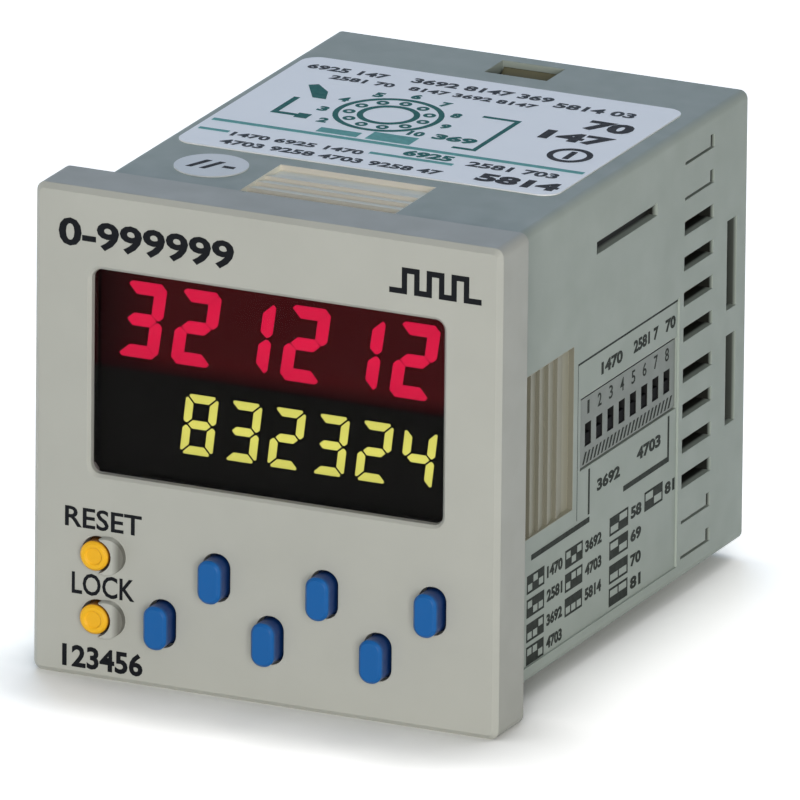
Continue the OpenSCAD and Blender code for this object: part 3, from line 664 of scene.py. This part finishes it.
# Print on the front
face = front_plane(FRONT_FACE)
text_piece("range_numbers", [("0-999999", (-21.5, -3.4), (18.2, 21.0))], face, dark_ink, weight=0.03)
key_words = [("RESET", (-20.65, -12.7), (-9.28, -7.25)), ("LOCK", (-19.9, -13.4), (-15.84, -13.66))]
text_piece("key_words", key_words, face, dark_ink, weight=0.016)
text_piece("key_numbers", [("123456", (-20.85, -12.5), (-23.1, -20.85))], face, dark_ink, weight=0.03)
flat_piece("pulse_mark", pulse_outlines(12.55, 22.0, 18.4, 21.0, line=0.55, count=3), face, dark_ink)

# Print on the setting switch and on the sunk field round it
switch_low, switch_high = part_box("dip_switch")
switch_middle = (switch_low.y + switch_high.y) / 2 / MM
switch_plane = right_plane(switch_face)
field_plane = right_plane(FIELD_FACE)
switch_numbers = []
for k in range(SWITCH_COUNT):
    centre = switch_middle + (k - (SWITCH_COUNT - 1) / 2) * SWITCH_PITCH
    half = 0.22 if k == 0 else 0.42
    switch_numbers.append((str(k + 1), (centre - half, centre + half), (0.3, 1.6)))
text_piece("switch_numbers", switch_numbers, switch_plane, side_ink, weight=0.01)
flat_piece("switch_hatch", [[(u, -4.5), (u + 0.35, -4.5), (u + 1.0, -3.4), (u + 0.65, -3.4)]
                            for u in [18.8 + 0.84 * k for k in range(24)]], switch_plane, side_ink)

field_lines = [bar(17.1, 39.95, 5.65, 5.95), bar(17.05, 17.5, -9.6, 5.65)]
field_lines += [bar(20.0, 20.35, -9.7, -5.2), bar(38.0, 38.35, -9.2, -5.2)]
field_lines += [bar(7.3, 20.35, -10.5, -9.95), bar(28.0, 38.35, -9.75, -9.2)]
field_text = [number_row(22.7, 27.5, 3.9, 1.25, 1), number_row(30.0, 35.6, 3.9, 1.25, 2),
              number_row(37.2, 39.5, 3.9, 1.25, 7)]
field_text += [number_row(22.0, 27.2, -7.4, 1.25, 3), number_row(31.0, 36.4, -7.0, 1.25, 4)]
for row, height in enumerate((-12.75, -15.1, -17.5, -19.75)):
    field_lines += switch_sign(6.4, 10.3, height - 0.9, height + 0.9, ("101", "011", "110", "001")[row])
    field_text.append(number_row(10.9, 14.4, height, 1.2, row + 1))
    field_lines += switch_sign(25.0, 29.2, height - 0.6, height + 1.2, ("10", "01", "11", "00")[row])
    field_text.append(number_row(29.8, 32.2, height + 0.3, 1.2, row + 5))
    if row < 3:
        field_lines += switch_sign(15.0, 18.9, height - 0.9, height + 0.9, ("010", "100", "111")[row])
        field_text.append(number_row(19.5, 23.2, height, 1.2, row + 3))
field_lines += switch_sign(32.9, 37.0, -13.2, -11.3, "01")
field_text.append(number_row(37.5, 39.7, -12.3, 1.2, 8))
flat_piece("field_lines", field_lines, field_plane, side_ink)
text_piece("field_numbers", field_text, field_plane, side_ink, weight=0.045)

# Print on the label and the sticker
label_plane = top_plane(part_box("top_label")[1].z / MM)
label_bands = [bar(-19.7, 18.7, 23.5, 24.2), bar(-19.7, -16.6, 20.5, 21.1), bar(-2.0, 6.6, 20.5, 21.1)]
label_bands += [bar(-4.3, 0.3, 24.6, 26.9), bar(-9.4, -5.2, 24.6, 26.0)]
flat_piece("label_bands", label_bands, label_plane, pale_ink)
label_text = [number_row(-16.1, -2.5, 20.4, 1.3, 1), number_row(-16.1, 6.7, 17.9, 1.4, 4),
              number_row(7.7, 17.0, 21.8, 1.5, 2)]
label_text += [number_row(-18.8, -10.5, 43.2, 1.4, 6), number_row(-8.0, 6.6, 43.4, 1.5, 3),
               number_row(7.3, 15.6, 42.3, 1.5, 5)]
label_text += [number_row(-15.4, -8.8, 40.9, 1.2, 2), number_row(-7.2, 6.0, 40.9, 1.2, 8)]
text_piece("label_numbers", label_text, label_plane, label_ink, weight=0.035)
text_piece("label_blocks", [number_row(12.5, 17.3, 38.0, 3.0, 7), number_row(10.0, 17.0, 33.6, 2.8, 1),
                            number_row(10.2, 18.6, 18.6, 2.4, 5)], label_plane, dark_ink, weight=0.05)
label_mark = ring(15.2, 28.4, 1.6, 2.2, sides=32) + [bar(14.9, 15.5, 27.2, 29.6)]
flat_piece("label_mark", label_mark, label_plane, dark_ink)
RING_MIDDLE = (-5.4, 32.3)
diagram = ring(*RING_MIDDLE, 2.4, 3.0) + ring(*RING_MIDDLE, 4.75, 5.3)
pin_text = []
for k in range(PIN_COUNT):
    angle = math.radians(270 - (k + 0.5) * 360 / PIN_COUNT)
    diagram += ring(*round_place(RING_MIDDLE, 3.87, angle), 0.25, 0.62, sides=16)
    u, v = round_place(RING_MIDDLE, 6.4, angle)
    half = 0.5 if k < 9 else 0.8
    if 0 < k < PIN_COUNT - 1:
        pin_text.append((str(k + 1), (u - half, u + half), (v - 0.7, v + 0.7)))
pin_text += [number_row(1.2, 5.6, 28.2, 1.7, 3), number_row(0.9, 5.9, 22.3, 1.7, 6)]
flat_piece("label_diagram", diagram, label_plane, teal_ink)
text_piece("label_pins", pin_text, label_plane, teal_ink, weight=0.05)
wires = [bar(-15.8, -15.2, 28.2, 33.6), bar(-15.2, -13.2, 28.2, 28.8), bar(-13.2, -11.9, 27.8, 29.2)]
wires += [[(-16.2, 37.6), (-14.2, 34.2), (-12.8, 34.2), (-13.6, 36.4), (-15.4, 38.2)]]
wires += [bar(6.2, 6.7, 25.6, 35.6), bar(2.8, 6.7, 35.6, 36.1), bar(4.2, 6.2, 25.6, 26.1)]
flat_piece("label_wires", wires, label_plane, teal_ink)
sticker_plane = top_plane(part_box("round_sticker")[1].z / MM)
sticker_marks = [[(-15.7, 9.3), (-15.1, 9.3), (-14.1, 11.9), (-14.7, 11.9)],
                 [(-14.3, 9.3), (-13.7, 9.3), (-12.7, 11.9), (-13.3, 11.9)],
                 bar(-12.4, -11.2, 10.3, 10.9)]
flat_piece("sticker_print", sticker_marks, sticker_plane, dark_ink)

# Raised pin numbers on the plug boss
boss_text = []
for k in range(PIN_COUNT):
    u, v = round_place((0, 0), 12.6, math.radians((k + 0.5) * 360 / PIN_COUNT - 90))
    half = 0.45 if k < 9 else 0.85
    if k == 0:
        half = 0.3
    boss_text.append((str(k + 1), (u - half, u + half), (v - 0.75, v + 0.75)))
text_piece("pin_numbers", boss_text, rear_plane(BOSS_FACE), MATERIALS["base_beige"], proud=0.15)


# Where all lights are turned to
MIDDLE = Vector((0.0, 0.025, 0.0))


def area_light(name, place, size, level, colour):
    """Square area light turned to the part's middle, which it gives the wanted level of light."""
    aim = MIDDLE - Vector(place)
    data = bpy.data.lights.new(name, "AREA")
    data.size = size
    data.energy = level * (math.pi * aim.length) ** 2
    data.color = colour
    light = bpy.data.objects.new(name, data)
    light.location = place
    light.rotation_euler = aim.to_track_quat("-Z", "Y").to_euler()
    bpy.context.scene.collection.objects.link(light)
    return light


KEY_PLACE = (0.36, -0.68, 0.13)
TOP_PLACE = (-0.3, 0.5, 0.62)
REAR_PLACE = (-0.05, 0.85, 0.04)
LEFT_PLACE = (-0.8, 0.06, 0.04)
area_light("key", KEY_PLACE, size=0.4, level=0.83, colour=(1.0, 0.98, 0.92))
area_light("top", TOP_PLACE, size=0.3, level=0.15, colour=(0.3, 0.6, 1.0))
for name, place in (("rear_fill", REAR_PLACE), ("left_fill", LEFT_PLACE)):
    fill = area_light(name, place, size=0.14, level=0.45, colour=(1.0, 0.99, 0.96))
    fill.visible_glossy = False


def white_world(ambient):
    """World that is white to the camera, a cool white in reflections and a soft fill otherwise."""
    world = bpy.data.worlds.new("studio")
    world.use_nodes = True
    nodes = world.node_tree.nodes
    links = world.node_tree.links
    nodes.clear()
    path = nodes.new("ShaderNodeLightPath")
    seen = nodes.new("ShaderNodeMath")
    seen.operation = "ADD"
    seen.use_clamp = True
    links.new(path.outputs["Is Camera Ray"], seen.inputs[0])
    links.new(path.outputs["Is Transmission Ray"], seen.inputs[1])
    surface = None
    for colour, strength, factor in (((0.9, 0.96, 0.97, 1.0), ambient, None),
                                     ((1.0, 1.0, 1.0, 1.0), 1.0, seen.outputs[0]),
                                     ((0.84, 0.88, 1.0, 1.0), 1.0, path.outputs["Is Glossy Ray"])):
        sky = nodes.new("ShaderNodeBackground")
        sky.inputs["Color"].default_value = colour
        sky.inputs["Strength"].default_value = strength
        if factor is None:
            surface = sky.outputs[0]
            continue
        mix = nodes.new("ShaderNodeMixShader")
        links.new(factor, mix.inputs["Fac"])
        links.new(surface, mix.inputs[1])
        links.new(sky.outputs[0], mix.inputs[2])
        surface = mix.outputs[0]
    out = nodes.new("ShaderNodeOutputWorld")
    links.new(surface, out.inputs["Surface"])
    bpy.context.scene.world = world


white_world(ambient=0.165)


def white_floor(height, glow, reach):
    """White floor that keeps the soft shadow of the part and is lifted to white for the camera, with a
    painted contact shadow where the lift is dimmed near the part.
    """
    mesh = bmesh.new()
    bmesh.ops.create_grid(mesh, x_segments=8, y_segments=8, size=6.0)
    bmesh.ops.translate(mesh, vec=(0, 0, height), verts=mesh.verts)
    data = bpy.data.meshes.new("floor")
    mesh.to_mesh(data)
    mesh.free()
    floor = bpy.data.objects.new("floor", data)
    bpy.context.scene.collection.objects.link(floor)
    shade = Shade("floor_white")
    shade.set(Specular_IOR_Level=0.0, Roughness=1.0)
    shade.paint(shade.noise(400, 2), [(0.3, (0.86, 0.86, 0.86, 1.0)), (0.7, (0.88, 0.88, 0.88, 1.0))])
    bright = shade.nodes.new("ShaderNodeBsdfDiffuse")
    white = shade.ramp(shade.noise(400, 2), [(0.3, (1.0, 1.0, 1.0, 1.0)), (0.7, (0.99, 0.99, 0.99, 1.0))])
    shade.links.new(white, bright.inputs["Color"])
    # Painted contact shadow: ambient occlusion dims the lift to white near the part, more so towards the
    # front
    open_air = shade.nodes.new("ShaderNodeAmbientOcclusion")
    open_air.samples = 8
    open_air.inputs["Distance"].default_value = reach * MM
    fade = shade.nodes.new("ShaderNodeMapRange")
    fade.inputs["From Min"].default_value = 0.45
    shade.links.new(open_air.outputs["AO"], fade.inputs["Value"])
    front = shade.math("ADD", shade.math("MULTIPLY", shade.axis("Y", 2, -12), 1.8), 0.6)
    level = shade.math("MULTIPLY", shade.math("POWER", fade.outputs[0], front), glow)
    lift = shade.nodes.new("ShaderNodeEmission")
    shade.links.new(level, lift.inputs["Strength"])
    both = shade.nodes.new("ShaderNodeAddShader")
    shade.links.new(bright.outputs[0], both.inputs[0])
    shade.links.new(lift.outputs[0], both.inputs[1])
    path = shade.nodes.new("ShaderNodeLightPath")
    seen = shade.math("ADD", path.outputs["Is Camera Ray"], path.outputs["Is Glossy Ray"])
    mix = shade.nodes.new("ShaderNodeMixShader")
    shade.links.new(seen, mix.inputs["Fac"])
    shade.links.new(shade.shader.outputs[0], mix.inputs[1])
    shade.links.new(both.outputs[0], mix.inputs[2])
    shade.links.new(mix.outputs[0], shade.nodes["Material Output"].inputs["Surface"])
    data.materials.append(shade.material)


white_floor(cad_box[0][2], glow=0.8, reach=14)

# The camera, from its turn round Z, its tilt and its roll
forward = Vector((math.sin(YAW) * math.cos(PITCH), math.cos(YAW) * math.cos(PITCH), math.sin(PITCH)))
level_right = Vector((math.cos(YAW), -math.sin(YAW), 0))
level_up = level_right.cross(forward)
right = level_right * math.cos(ROLL) + level_up * math.sin(ROLL)
up = level_up * math.cos(ROLL) - level_right * math.sin(ROLL)
lens = bpy.data.cameras.new("camera")
lens.lens = LENS
lens.sensor_width = SENSOR
lens.clip_end = 50
camera = bpy.data.objects.new("camera", lens)
camera.matrix_world = Matrix((right, up, -forward)).transposed().to_4x4()
camera.location = EYE
bpy.context.scene.collection.objects.link(camera)
bpy.context.scene.camera = camera
bpy.context.scene.view_settings.view_transform = "Standard"
